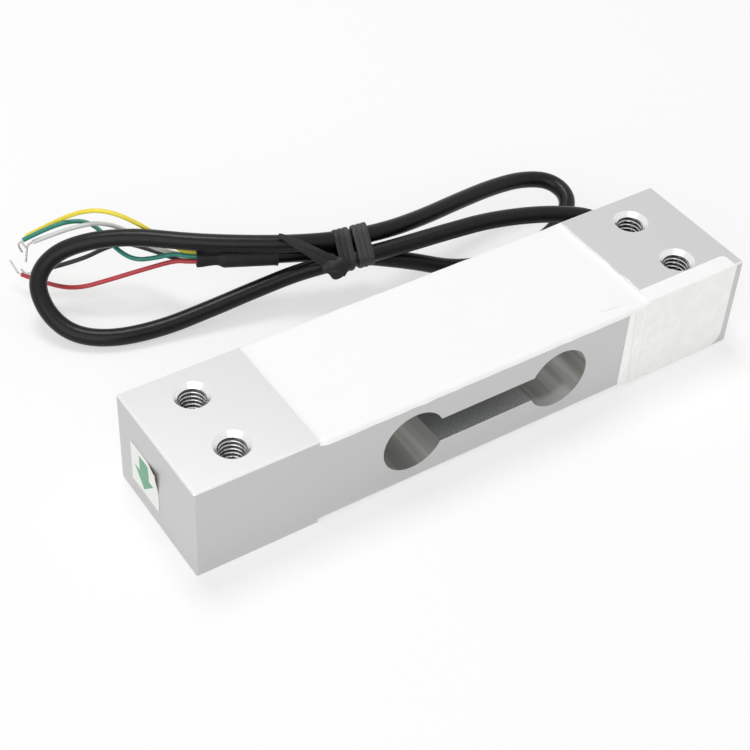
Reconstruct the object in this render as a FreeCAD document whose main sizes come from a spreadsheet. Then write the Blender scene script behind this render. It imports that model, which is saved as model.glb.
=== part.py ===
"""Single point load cell: a milled aluminium bar with two joined bores, strain gauges under silicone
and a tied cable with five leads.

Frame: origin at the middle of the bar's underside. +X runs to the fixed, cable end, -Y is the face with
the wrap label, +Z is up. Millimetres.
"""

import FreeCAD, Part
import math
import os
import re
import Sketcher

V = FreeCAD.Vector
NEAR = 0.01
doc = FreeCAD.newDocument("load_cell")
sheet = doc.addObject("Spreadsheet::Sheet", "Sizes")

SIZES = [
    ("bar_length", 130.0),
    ("bar_width", 30.0),
    ("bar_height", 22.0),
    ("edge_break", 0.3),
    ("cutter_overrun", 1.0),
    ("pad_length", 26.0),
    ("recess_depth", 1.3),
    ("bore_diameter", 14.0),
    ("bore_pitch", 35.0),
    ("slot_height", 6.0),
    ("bolt_end_gap", 12.0),
    ("bolt_pitch", 15.0),
    ("tap_drill", 5.0),
    ("sink_diameter", 7.4),
    ("sink_angle", 90.0),
    ("cable_bore_diameter", 4.8),
    ("cable_bore_depth", 16.5),
    ("cable_bore_end_gap", 6.0),
    ("passage_diameter", 2.4),
    ("passage_mouth_gap", 4.0),
    ("passage_overrun", 3.36),
    ("silicone_top_gap", 0.2),
    ("silicone_overhang", 0.35),
    ("silicone_lip", 0.35),
    ("silicone_round", 0.9),
    ("silicone_under_gap", 0.3),
    ("silicone_under_inset", 0.4),
    ("gauge_length", 10.0),
    ("gauge_width", 6.5),
    ("gauge_thickness", 0.15),
    ("board_length", 14.0),
    ("board_width", 10.0),
    ("board_thickness", 0.4),
    ("strip_length", 8.0),
    ("strip_width", 6.0),
    ("resistor_length", 1.6),
    ("resistor_width", 0.8),
    ("resistor_thickness", 0.35),
    ("resistor_pitch", 2.6),
    ("gauge_wire_diameter", 0.3),
    ("gauge_wire_pitch", 3.0),
    ("inner_wire_diameter", 0.4),
    ("inner_wire_pitch", 0.46),
    ("inner_wire_side", 4.0),
    ("inner_wire_gap", 0.03),
    ("inner_wire_entry", 1.0),
    ("inner_wire_turn", 0.1),
    ("label_thickness", 0.15),
    ("label_tab_length", 4.5),
    ("label_end_gap", 2.0),
    ("label_low", 0.4),
    ("label_flap_gap", 1.0),
    ("label_flap_end_gap", 2.5),
    ("label_flap_depth", 3.6),
    ("label_round", 1.2),
    ("sticker_thickness", 0.15),
    ("sticker_width", 10.6),
    ("sticker_height", 10.0),
    ("sticker_low", 4.4),
    ("sticker_side", 0.8),
    ("cable_diameter", 3.8),
    ("cable_embedded", 4.0),
    ("seal_clearance", 0.05),
    ("seal_rim", 0.2),
    ("seal_overrun", 0.6),
    ("seal_bead_diameter", 6.6),
    ("seal_bead_height", 1.2),
    ("sleeve_wall", 0.35),
    ("sleeve_cover", 12.0),
    ("sleeve_free", 5.5),
    ("sleeve_clearance", 0.05),
    ("sleeve_taper", 1.2),
    ("lead_diameter", 1.0),
    ("lead_ring", 0.9),
    ("lead_fan_gap", 1.5),
    ("tin_diameter", 0.45),
    ("tie_thickness", 0.6),
    ("tie_step", 0.3),
    ("tie_width", 4.4),
    ("tie_clearance", 0.1),
    ("tie_reach", 17.6),
    ("tie_knot_diameter", 3.4),
    ("tie_tail_width", 3.0),
    ("tie_tail_tip_width", 1.2),
]
for row, (alias, value) in enumerate(SIZES, 1):
    sheet.set("A%d" % row, alias)
    sheet.set("B%d" % row, str(value))
    sheet.setAlias("B%d" % row, alias)
doc.recompute()


def size(alias):
    """A size from the sheet, as a number."""
    return float(sheet.get(alias))


def bind(item, links):
    """Ties properties of an object to expressions over the sheet's aliases."""
    for name, text in links.items():
        item.setExpression(name, formula(text))


def formula(text):
    """Puts the sheet's name before every alias: each is two or more words joined by underscores."""
    return re.sub(r"[a-z]+(_[a-z]+)+", r"Sizes.\g<0>", text)


def plane_sketch(body, name, role, offset="0"):
    """A sketch on one of the body's origin planes, moved along its normal by offset."""
    sketch = body.newObject("Sketcher::SketchObject", name)
    plane = [p for p in body.Origin.OriginFeatures if p.Role == role][0]
    sketch.AttachmentSupport = (plane, [""])
    sketch.MapMode = "FlatFace"
    sketch.setExpression("AttachmentOffset.Base.z", formula(offset) + " * 1 mm")
    return sketch


def hold(sketch, kind, geometry, point, text):
    """Holds a point at a distance from the sketch's origin, given by an expression."""
    value = float(sketch.evalExpression(formula(text)))
    index = sketch.addConstraint(Sketcher.Constraint(kind, -1, 1, geometry, point, value))
    sketch.setExpression("Constraints[%d]" % index, formula(text))


def rectangle(sketch, left, right, low, high):
    """A rectangle whose four sides are held by expressions."""
    x0, x1, y0, y1 = [float(sketch.evalExpression(formula(t))) for t in (left, right, low, high)]
    corners = [V(x0, y0, 0), V(x1, y0, 0), V(x1, y1, 0), V(x0, y1, 0)]
    lines = [
        sketch.addGeometry(Part.LineSegment(corners[i], corners[(i + 1) % 4])) for i in range(4)
    ]
    for i in range(4):
        sketch.addConstraint(Sketcher.Constraint("Coincident", lines[i], 2, lines[(i + 1) % 4], 1))
        way = "Horizontal" if i % 2 == 0 else "Vertical"
        sketch.addConstraint(Sketcher.Constraint(way, lines[i]))
    hold(sketch, "DistanceX", lines[0], 1, left)
    hold(sketch, "DistanceY", lines[0], 1, low)
    hold(sketch, "DistanceX", lines[2], 1, right)
    hold(sketch, "DistanceY", lines[2], 1, high)


def circle(sketch, across, up, diameter):
    """A circle whose centre and diameter are held by expressions."""
    x, y, d = [float(sketch.evalExpression(formula(t))) for t in (across, up, diameter)]
    ring = sketch.addGeometry(Part.Circle(V(x, y, 0), V(0, 0, 1), d / 2))
    hold(sketch, "DistanceX", ring, 3, across)
    hold(sketch, "DistanceY", ring, 3, up)
    index = sketch.addConstraint(Sketcher.Constraint("Diameter", ring, d))
    sketch.setExpression("Constraints[%d]" % index, formula(diameter))


def pad(body, name, sketch, length, both_ways=False):
    feature = body.newObject("PartDesign::Pad", name)
    feature.Profile = sketch
    feature.setExpression("Length", formula(length))
    feature.Midplane = both_ways
    return feature


def edges_where(shape, wanted):
    """The names of the edges whose bounding box passes the test."""
    return ["Edge%d" % n for n, e in enumerate(shape.Edges, 1) if wanted(e.BoundBox)]


def new_body(name):
    body = doc.addObject("PartDesign::Body", name)
    body.Label = name
    return body


def box(name, length, width, height, x, y, z):
    """A box given by its size and its low corner, all expressions."""
    item = doc.addObject("Part::Box", name)
    item.Label = name
    links = {"Length": length, "Width": width, "Height": height}
    links.update({"Placement.Base.x": x, "Placement.Base.y": y, "Placement.Base.z": z})
    bind(item, links)
    return item


def rod(name, diameter, length, place, axis, angle):
    """A cylinder from place, turned from +Z about axis by angle, all sizes as expressions."""
    item = doc.addObject("Part::Cylinder", name)
    item.Label = name
    item.Placement = FreeCAD.Placement(V(0, 0, 0), FreeCAD.Rotation(axis, 1))
    bind(item, {"Radius": "(%s) / 2" % diameter, "Height": length})
    bind(item, {"Placement.Base." + c: text for c, text in zip("xyz", place)})
    bind(item, {"Placement.Rotation.Angle": angle})
    return item


def cut(name, base, tool):
    item = doc.addObject("Part::Cut", name)
    item.Label = name
    item.Base = base
    item.Tool = tool
    return item


def group(name, items):
    """Several separate solids that share one node."""
    item = doc.addObject("Part::Compound", name)
    item.Label = name
    item.Links = items
    return item


def fuse(name, items):
    item = doc.addObject("Part::MultiFuse", name)
    item.Label = name
    item.Shapes = items
    return item


def shaped(name, shape):
    """A piece whose shape comes from Part's functions."""
    item = doc.addObject("Part::Feature", name)
    item.Label = name
    item.Shape = shape
    item.Placement = FreeCAD.Placement()
    return item


# The spring body: a sawn bar, milled, bored, slotted and drilled.
def spring_body():
    body = new_body("milled_bar")
    blank = plane_sketch(body, "bar_outline", "XY_Plane")
    rectangle(blank, "-bar_length / 2", "bar_length / 2", "-bar_width / 2", "bar_width / 2")
    bar = pad(body, "bar", blank, "bar_height")
    doc.recompute()

    broken = body.newObject("PartDesign::Chamfer", "edge_breaks")
    broken.Base = (bar, ["Edge%d" % n for n in range(1, len(bar.Shape.Edges) + 1)])
    broken.setExpression("Size", formula("edge_break"))
    doc.recompute()

    # the gauge recess above and below, between the two end pads
    sides = plane_sketch(body, "recess_outline", "XZ_Plane")
    reach = "(bar_length / 2 - pad_length)"
    rectangle(sides, "-" + reach, reach, "bar_height - recess_depth", "bar_height + cutter_overrun")
    rectangle(sides, "-" + reach, reach, "-cutter_overrun", "recess_depth")
    recess = body.newObject("PartDesign::Pocket", "recesses")
    recess.Profile = sides
    recess.Type = "ThroughAll"
    recess.Midplane = True
    doc.recompute()

    # the two bores that leave four thin walls
    rounds = plane_sketch(body, "bore_outline", "XZ_Plane")
    for side in "-", "":
        circle(rounds, side + "bore_pitch / 2", "bar_height / 2", "bore_diameter")
    bores = body.newObject("PartDesign::Pocket", "bores")
    bores.Profile = rounds
    bores.Type = "ThroughAll"
    bores.Midplane = True
    doc.recompute()

    gap = plane_sketch(body, "slot_outline", "XZ_Plane")
    low, high = "(bar_height - slot_height) / 2", "(bar_height + slot_height) / 2"
    rectangle(gap, "-bore_pitch / 2", "bore_pitch / 2", low, high)
    slot = body.newObject("PartDesign::Pocket", "slot")
    slot.Profile = gap
    slot.Type = "ThroughAll"
    slot.Midplane = True
    doc.recompute()

    # tapped holes, countersunk above and below; the first set goes right through
    for name, level, through in ("top", "bar_height", True), ("under", "0", False):
        marks = plane_sketch(body, name + "_hole_centres", "XY_Plane", level)
        for end in "-", "":
            for side in "-", "":
                across = end + "(bar_length / 2 - bolt_end_gap)"
                circle(marks, across, side + "bolt_pitch / 2", "tap_drill")
        doc.recompute()
        holes = body.newObject("PartDesign::Hole", name + "_holes")
        holes.Profile = marks
        holes.Reversed = not through
        holes.Threaded = False
        holes.ThreadType = "None"
        holes.setExpression("Diameter", formula("tap_drill"))
        holes.HoleCutType = "Countersink"
        holes.HoleCutCustomValues = True
        holes.setExpression("HoleCutDiameter", formula("sink_diameter"))
        holes.setExpression("HoleCutCountersinkAngle", formula("sink_angle"))
        if through:
            holes.DepthType = "ThroughAll"
        else:
            holes.DepthType = "Dimension"
            holes.DrillPoint = "Flat"
            holes.setExpression("Depth", formula("sink_diameter / 2"))
        body.Tip = holes
        doc.recompute()

    # the cable bore from the back face and the two sloping wire passages that run into it
    along = "bar_length / 2 - cable_bore_end_gap"
    bore = rod(
        "cable_bore",
        "cable_bore_diameter",
        "cable_bore_depth",
        (along, "bar_width / 2", "bar_height / 2"),
        V(1, 0, 0),
        "90",
    )
    run = "(pad_length - cable_bore_end_gap + passage_mouth_gap)"
    rise = "(bar_height / 2 - recess_depth)"
    length = "sqrt(%s ^ 2 + %s ^ 2) + passage_overrun" % (run, rise)
    place = (along, "0", "bar_height / 2")
    up = rod(
        "upper_passage",
        "passage_diameter",
        length,
        place,
        V(0, 1, 0),
        "0 deg - atan2(%s; %s)" % (run, rise),
    )
    down = rod(
        "lower_passage",
        "passage_diameter",
        length,
        place,
        V(0, 1, 0),
        "atan2(%s; %s) - 180 deg" % (run, rise),
    )
    return cut("spring_body", body, fuse("drillings", [bore, up, down]))


# Foil gauges on the recess floors, one over each thin wall.
def gauges():
    made = []
    top = "bar_height - recess_depth"
    under = "recess_depth - gauge_thickness"
    for level, z in ("top", top), ("bottom", under):
        for end, x in ("loaded", "-bore_pitch / 2"), ("fixed", "bore_pitch / 2"):
            made.append(
                box(
                    "gauge_%s_%s" % (level, end),
                    "gauge_length",
                    "gauge_width",
                    "gauge_thickness",
                    x + " - gauge_length / 2",
                    "-gauge_width / 2",
                    z,
                )
            )
    return made


# The terminal board with its trim resistors, and the strip on the underside.
def boards():
    floor = "bar_height - recess_depth"
    board = box(
        "bridge_board",
        "board_length",
        "board_width",
        "board_thickness",
        "-board_length / 2",
        "-board_width / 2",
        floor,
    )
    strip = box(
        "terminal_strip",
        "strip_length",
        "strip_width",
        "board_thickness",
        "-strip_length / 2",
        "-strip_width / 2",
        "recess_depth - board_thickness",
    )
    chips = [
        box(
            "trim_resistor_%d" % n,
            "resistor_width",
            "resistor_length",
            "resistor_thickness",
            "%d * resistor_pitch - resistor_width / 2" % (n - 2),
            "-resistor_length / 2",
            floor + " + board_thickness",
        )
        for n in (1, 2, 3)
    ]
    return board, strip, group("trim_resistors", chips)


# Fine wires, two from each gauge to the board or strip on its own side of the bar.
def gauge_wires():
    wires = []
    top = "bar_height - recess_depth + inner_wire_gap + gauge_wire_diameter / 2"
    under = "recess_depth - inner_wire_gap - gauge_wire_diameter / 2"
    for level, z, half in ("top", top, "board_length / 2"), ("under", under, "strip_length / 2"):
        run = "bore_pitch / 2 - gauge_length / 2 - " + half
        for end, x in ("loaded", "-bore_pitch / 2 + gauge_length / 2"), ("fixed", half):
            for side in "-", "":
                wires.append(
                    rod(
                        "gauge_wire_%s_%s_%d" % (level, end, len(wires)),
                        "gauge_wire_diameter",
                        run,
                        (x, side + "gauge_wire_pitch / 2", z),
                        V(0, 1, 0),
                        "90",
                    )
                )
    return group("gauge_wires", wires)


def rounded_path(points):
    """Straight runs joined by tangent arcs, each as large as its two runs allow. Returns the edges and
    the radii."""
    points = [V(*p) for p in points]
    edges, radii, start = [], [], points[0]
    for before, corner, after in zip(points, points[1:], points[2:]):
        back, on = before - corner, after - corner
        turn = math.pi - back.getAngle(on)
        reach = 0.45 * min(back.Length, on.Length)
        radii.append(reach / math.tan(turn / 2))
        back.normalize()
        on.normalize()
        first, last = corner + back * reach, corner + on * reach
        centre_way = back + on
        centre_way.normalize()
        sag = radii[-1] * (1 / math.cos(turn / 2) - 1)
        edges.append(Part.LineSegment(start, first).toShape())
        edges.append(Part.Arc(first, corner + centre_way * sag, last).toShape())
        start = last
    edges.append(Part.LineSegment(start, points[-1]).toShape())
    return edges, radii


def swept(edges, radius):
    """A round solid along joined edges."""
    first = edges[0]
    start = first.valueAt(first.FirstParameter)
    way = first.tangentAt(first.FirstParameter)
    disc = Part.Wire([Part.makeCircle(radius, start, way)])
    return Part.Wire(edges).makePipeShell([disc], True, False)


def tube(points, diameter):
    return swept(rounded_path(points)[0], diameter / 2)


# Thin wires from the boards, round the gauges and down the passages to the end of the cable.
def inner_wires(name, mirrored, pairs):
    half_height = size("bar_height") / 2
    floor = half_height - size("recess_depth")
    thick, pitch = size("inner_wire_diameter"), size("inner_wire_pitch")
    bore_x = size("bar_length") / 2 - size("cable_bore_end_gap")
    mouth_x = size("bar_length") / 2 - size("pad_length") - size("passage_mouth_gap")
    slope = floor / (bore_x - mouth_x)
    board = size("strip_length" if mirrored else "board_length") / 2
    bend_x = (size("bore_pitch") + size("gauge_length")) / 2 + thick
    cable_end = size("bar_width") / 2 - size("cable_embedded") - size("inner_wire_gap")
    entry = bore_x - size("inner_wire_entry")
    drop = 0 if mirrored else pitch / 2
    wires = []
    for side, rank in pairs:
        lie = floor + size("inner_wire_gap") + thick / 2
        spread = size("inner_wire_side") + rank * pitch
        near, lift = side * pitch / 2, rank * pitch
        aim = lambda x: (bore_x - x) * slope + lift - drop
        points = [
            (board + size("inner_wire_gap"), side * (spread - pitch / 2), lie),
            (bend_x, side * spread, lie),
            (mouth_x - size("passage_mouth_gap"), near, lie + lift),
            (mouth_x, near, lie + lift + size("inner_wire_gap")),
            (entry, near, aim(entry)),
            (bore_x + near, size("passage_diameter") + lift, lift - pitch / 2),
            (bore_x + near + size("inner_wire_turn"), cable_end, lift - pitch / 2),
        ]
        flip = -1 if mirrored else 1
        wires.append(tube([(x, y, half_height + flip * z) for x, y, z in points], thick))
    return shaped(name, Part.makeCompound(wires))


# White silicone, poured over the gauges to just under the pads' tops and hanging over both sides.
def top_silicone(bar, buried):
    body = new_body("top_pour")
    section = plane_sketch(body, "top_pour_section", "YZ_Plane")
    half = "(bar_width / 2 + silicone_overhang)"
    rectangle(
        section,
        "-" + half,
        half,
        "bar_height - recess_depth - silicone_lip",
        "bar_height - silicone_top_gap",
    )
    pour = pad(body, "top_pour_pad", section, "bar_length - 2 * pad_length", True)
    doc.recompute()
    crown = pour.Shape.BoundBox.ZMax
    rims = edges_where(pour.Shape, lambda b: b.XLength > b.YLength and b.ZMin > crown - NEAR)
    soft = body.newObject("PartDesign::Fillet", "top_pour_round")
    soft.Base = (pour, rims)
    soft.setExpression("Radius", formula("silicone_round"))
    seated = cut("top_pour_on_bar", body, bar)
    return cut("top_silicone", seated, group("top_buried", buried))


# The underside gets a thinner pour, set in from both sides.
def bottom_silicone(bar, buried):
    pour = box(
        "bottom_pour",
        "bar_length - 2 * pad_length",
        "bar_width - 2 * silicone_under_inset",
        "recess_depth - silicone_under_gap",
        "pad_length - bar_length / 2",
        "silicone_under_inset - bar_width / 2",
        "silicone_under_gap",
    )
    seated = cut("bottom_pour_on_bar", pour, bar)
    return cut("bottom_silicone", seated, group("bottom_buried", buried))


# The blank wrap label on the front face, with a flap folded over the top edge.
def side_label():
    body = new_body("side_label")
    edge = "bar_length / 2 - pad_length"
    tab = plane_sketch(body, "label_tab", "XZ_Plane", "bar_width / 2")
    under = "bar_height - recess_depth - silicone_lip"
    rectangle(tab, edge + " - label_tab_length", edge, "recess_depth + label_low / 2", under)
    pad(body, "label_tab_pad", tab, "label_thickness")
    panel = plane_sketch(body, "label_panel", "XZ_Plane", "bar_width / 2")
    rectangle(panel, edge, "bar_length / 2 - label_end_gap", "label_low", "bar_height")
    pad(body, "label_front", panel, "label_thickness")
    flap = plane_sketch(body, "label_flap", "XY_Plane", "bar_height")
    near = "-bar_width / 2 - label_thickness"
    far = "label_flap_depth - bar_width / 2"
    left, right = edge + " + label_flap_gap", "bar_length / 2 - label_flap_end_gap"
    rectangle(flap, left, right, near, far)
    folded = pad(body, "label_fold", flap, "label_thickness")
    doc.recompute()
    back = size("label_flap_depth") - size("bar_width") / 2 - NEAR
    low, side = size("label_low") + NEAR, size("bar_length") / 2 - size("label_end_gap") - NEAR
    corners = edges_where(
        folded.Shape,
        lambda b: b.ZLength > NEAR and b.YMin > back or b.ZMax < low and b.XMin > side,
    )
    rounded = body.newObject("PartDesign::Fillet", "label_corners")
    rounded.Base = (folded, corners)
    rounded.setExpression("Radius", formula("label_round"))
    return body


def arrow_sticker():
    return box(
        "arrow_sticker",
        "sticker_thickness",
        "sticker_width",
        "sticker_height",
        "-bar_length / 2 - sticker_thickness",
        "-sticker_side",
        "sticker_low",
    )


# The cable's route, chosen by hand: out of the bar, under the tie, round the left loop, back through the
# tie, round the right loop and through the tie again to the sleeve.
CABLE_ROUTE = [
    (59, 11, 11),
    (59, 22, 11),
    (49.5, 27.5, 12.5),
    (36, 32, 13),
    (24, 34, 12.5),
    (13.5, 36, 11.5),
    (2.5, 38, 11),
    (-7.5, 42, 9),
    (-18, 44.5, 6.2),
    (-28.5, 46, 4),
    (-39.5, 47.5, 2.2),
    (-50, 50, 2),
    (-56.5, 54.8, 2.6),
    (-59.3, 61, 5.5),
    (-58.5, 67.2, 9.6),
    (-53, 69, 13.2),
    (-45.5, 66.5, 15.5),
    (-37, 61.5, 16.5),
    (-28.5, 54.5, 16.5),
    (-19, 49, 16),
    (-9, 44, 15.5),
    (1.5, 41, 14.5),
    (12.5, 40, 13.5),
    (23, 41, 12.5),
    (34.5, 43, 11.5),
    (45, 44.5, 10.5),
    (53.5, 44.5, 9.6),
    (59.6, 41.8, 8.8),
    (60.8, 36.3, 7.6),
    (57, 31.8, 6.2),
    (49.5, 29, 4.5),
    (41, 28.4, 2.9),
    (33.5, 30.2, 2.1),
    (25.5, 32.8, 2.6),
    (17, 35.5, 6.2),
    (7, 40, 8.5),
    (-2.2, 44.6, 10),
    (-12.6, 47.8, 11.2),
    (-22, 51.7, 11.7),
]

# Each lead: its place in the ring at the end of the jacket, in degrees, and its route beyond the sleeve.
LEADS = {
    "lead_yellow": (54, [(-29.8, 57.5, 13.4), (-34.2, 62.7, 17), (-39.8, 67, 20.6), (-44.7, 70.9, 20.2),
                         (-49.4, 78.4, 13.4), (-54.2, 80.8, 10.2)]),
    "lead_green": (126, [(-30.7, 56.5, 12.9), (-34.8, 58, 12.2), (-38.8, 59.8, 12), (-40.9, 64.4, 12.8),
                         (-41.6, 70.3, 14.6), (-44.2, 73.8, 15.6), (-50.2, 75.2, 15.4), (-56.6, 76.5, 13)]),
    "lead_red": (198, [(-30.8, 56, 11.4), (-38.1, 58.3, 10), (-44.7, 60.8, 8.2), (-50.5, 63.7, 6.2),
                       (-54.3, 69.2, 4.8), (-57.8, 76.5, 4)]),
    "lead_black": (270, [(-30.2, 57.8, 10.3), (-32.5, 62.6, 10), (-36.8, 68.1, 10.4),
                         (-40.7, 69.5, 9.6), (-47.3, 70, 8), (-56.3, 73.7, 6)]),
    "lead_white": (342, [(-30.1, 57.8, 11.8), (-33.9, 62.4, 12), (-36.8, 67.1, 14.6), (-42.1, 68.9, 17.4),
                         (-46.6, 71, 16.4), (-49.6, 73.3, 14.6), (-54.7, 75.8, 12.2)]),
}
# The bare ends go on from the leads.
BARE_ENDS = {
    "lead_yellow": [(-55.6, 80.4, 9), (-54.8, 79.6, 8)],
    "lead_green": [(-57.8, 76.6, 11.6), (-57.2, 76.2, 10.2)],
    "lead_red": [(-58.5, 77.9, 4.6), (-58.8, 80, 6)],
    "lead_black": [(-57.6, 75, 5.2), (-57.6, 77, 5)],
    "lead_white": [(-56, 76.4, 11), (-57, 75.3, 8)],
}
TIE_CENTRE = (3.4, 39.6, 11.3)
TIE_STRANDS = [(3.2, 38.1, 10.9), (3.4, 40.9, 14.3), (3.9, 41.5, 9)]
TIE_KNOT = (-1.8, 36.7, 10)
TIE_TAIL_TIP = (-12.1, 44.8, 18.6)


def cable():
    edges, radii = rounded_path(CABLE_ROUTE)
    solid = swept(edges, size("cable_diameter") / 2)
    length = sum(e.Length for e in edges)
    ideal = math.pi * (size("cable_diameter") / 2) ** 2 * length
    print("cable length %.1f, volume %.1f of %.1f" % (length, solid.Volume, ideal))
    print("cable radii", [round(r, 1) for r in radii])
    return shaped("cable", solid), edges


# The epoxy ring that fills the cable bore round the cable, with a small bead outside.
def cable_seal():
    along, level = "bar_length / 2 - cable_bore_end_gap", "bar_height / 2"
    face = "bar_width / 2"
    plug = rod(
        "seal_plug",
        "cable_bore_diameter",
        "cable_embedded",
        (along, face, level),
        V(1, 0, 0),
        "90",
    )
    bead = doc.addObject("Part::Cone", "seal_bead")
    bead.Placement = FreeCAD.Placement(V(0, 0, 0), FreeCAD.Rotation(V(1, 0, 0), -90))
    bind(
        bead,
        {
            "Radius1": "seal_bead_diameter / 2",
            "Radius2": "cable_diameter / 2 + seal_rim",
            "Height": "seal_bead_height",
            "Placement.Base.x": along,
            "Placement.Base.y": face,
            "Placement.Base.z": level,
        },
    )
    room = rod(
        "seal_room",
        "cable_diameter + 2 * seal_clearance",
        "cable_embedded + seal_bead_height + 2 * seal_overrun",
        (along, face + " + seal_bead_height + seal_overrun", level),
        V(1, 0, 0),
        "90",
    )
    return cut("cable_seal", fuse("seal_whole", [plug, bead]), room)


def cable_end():
    """The cable's end point, its direction there and two directions across it."""
    last, before = V(*CABLE_ROUTE[-1]), V(*CABLE_ROUTE[-2])
    way = last - before
    way.normalize()
    side = way.cross(V(0, 0, 1))
    side.normalize()
    return last, way, side, side.cross(way)


# Heat-shrink over the end of the jacket and the root of the leads.
def heat_shrink_sleeve(cable_edges):
    end, way, _, _ = cable_end()
    inner = size("cable_diameter") / 2 + size("sleeve_clearance")
    outer = inner + size("sleeve_wall")
    bend, last = cable_edges[-2:]
    share = (size("sleeve_cover") - last.Length) / bend.Length
    stop = bend.LastParameter
    start = stop - share * (stop - bend.FirstParameter)
    path = [bend.Curve.toShape(start, stop), last]
    grip = swept(path, outer).cut(swept(path, inner))
    bundle = size("lead_ring") + size("lead_diameter") / 2 + size("sleeve_clearance")
    neck = Part.makeCylinder(bundle + size("sleeve_wall"), size("sleeve_free"), end, way)
    neck = neck.fuse(Part.makeCone(outer, bundle + size("sleeve_wall"), size("sleeve_taper"), end, way))
    hollow = Part.makeCylinder(bundle, size("sleeve_free"), end, way)
    return shaped("heat_shrink_sleeve", grip.fuse(neck.cut(hollow)).removeSplitter())


# The five leads leave the cable side by side in a ring and fan out past the sleeve.
def leads():
    end, way, side, up = cable_end()
    made, tips = [], []
    for name, (degrees, route) in LEADS.items():
        angle = math.radians(degrees)
        off = (side * math.cos(angle) + up * math.sin(angle)) * size("lead_ring")
        root, mouth = end + off, end + off + way * (size("sleeve_free") + size("lead_fan_gap"))
        edges, radii = rounded_path([tuple(root), tuple(mouth)] + route)
        print(name, "length %.1f, radii" % sum(e.Length for e in edges), [round(r, 1) for r in radii])
        made.append(shaped(name, swept(edges, size("lead_diameter") / 2)))
        last = V(*route[-1])
        on = last - V(*route[-2])
        on.normalize()
        start = [tuple(last), tuple(last + on * size("lead_diameter"))]
        tips.append(tube(start + BARE_ENDS[name], size("tin_diameter")))
    return made, shaped("tinned_ends", Part.makeCompound(tips))


def strands_near(place, reach):
    """The stretches of the cable's path that pass within reach of a place."""
    stretches, inside = [], False
    for edge in rounded_path(CABLE_ROUTE)[0]:
        near = (edge.CenterOfMass - place).Length < reach
        if near and not inside:
            stretches.append([])
        if near:
            stretches[-1].append(edge)
        inside = near
    return stretches


# The twist tie: two flat wraps round the three strands, the knot beside them and the loose end.
def cable_tie():
    centre = V(*TIE_CENTRE)
    along = V(*CABLE_ROUTE[5]) - V(*CABLE_ROUTE[6])
    along.normalize()
    strands = []
    for place in TIE_STRANDS:
        spot = V(*place)
        strands.append(spot - along * (spot - centre).dot(along))
    outline = Part.makePolygon(strands + [strands[0]])
    inside = size("cable_diameter") / 2
    wraps = []
    for turn in 0, 1:
        outside = inside + size("tie_thickness") + turn * size("tie_step")
        wrap = Part.Face(outline.makeOffset2D(outside)).extrude(along * size("tie_width"))
        wrap.translate(along * ((turn - 1) * size("tie_width")))
        wraps.append(wrap)
    knot = V(*TIE_KNOT)
    tip = V(*TIE_TAIL_TIP)
    lump = Part.makeSphere(size("tie_knot_diameter") / 2, knot)
    way = tip - knot
    across = way.cross(V(0, -1, 1))
    across.normalize()
    flat = across.cross(way)
    flat.normalize()
    wide, narrow = across * (size("tie_tail_width") / 2), across * (size("tie_tail_tip_width") / 2)
    corners = [knot + wide, tip + narrow, tip - narrow, knot - wide, knot + wide]
    tail = Part.Face(Part.makePolygon(corners)).extrude(flat * size("tie_thickness"))
    whole = wraps[0].fuse([wraps[1], lump, tail])
    for strand in strands_near(centre, size("tie_reach")):
        whole = whole.cut(swept(strand, inside + size("tie_clearance")))
    return shaped("cable_tie", whole.removeSplitter())


body = spring_body()
foils = gauges()
board, strip, resistors = boards()
fine = gauge_wires()
doc.recompute()
supply = inner_wires("supply_wires", False, [(-1, 0), (1, 0), (-1, 1), (1, 1)])
link = inner_wires("link_wires", True, [(-1, 0), (1, 0)])
top_pour = top_silicone(body, foils[:2] + [board, resistors, fine, supply])
bottom_pour = bottom_silicone(body, foils[2:] + [strip, fine, link])
label = side_label()
sticker = arrow_sticker()
cord, cord_edges = cable()
seal = cable_seal()
sleeve = heat_shrink_sleeve(cord_edges)
lead_list, tips = leads()
tie = cable_tie()
PIECES = [body, top_pour, bottom_pour, label, sticker, board, strip, resistors, fine, supply, link]
PIECES += foils + [cord, seal, sleeve] + lead_list + [tips, tie]

doc.recompute()
for item in doc.Objects:
    if "Invalid" in item.State or "Error" in item.State:
        raise SystemExit("%s failed: %s" % (item.Label, item.State))
for item in PIECES:
    if item.Shape.isNull() or not item.Shape.isValid():
        raise SystemExit("%s has no valid shape" % item.Label)
os.makedirs("parts", exist_ok=True)
for item in PIECES:
    item.Shape.exportStep("parts/%s.step" % item.Label)
    solids = len(item.Shape.Solids)
    print("%-20s solids %d volume %9.2f" % (item.Label, solids, item.Shape.Volume))
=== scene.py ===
import math

import bmesh
import bpy
from mathutils import Matrix, Vector, noise


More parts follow.
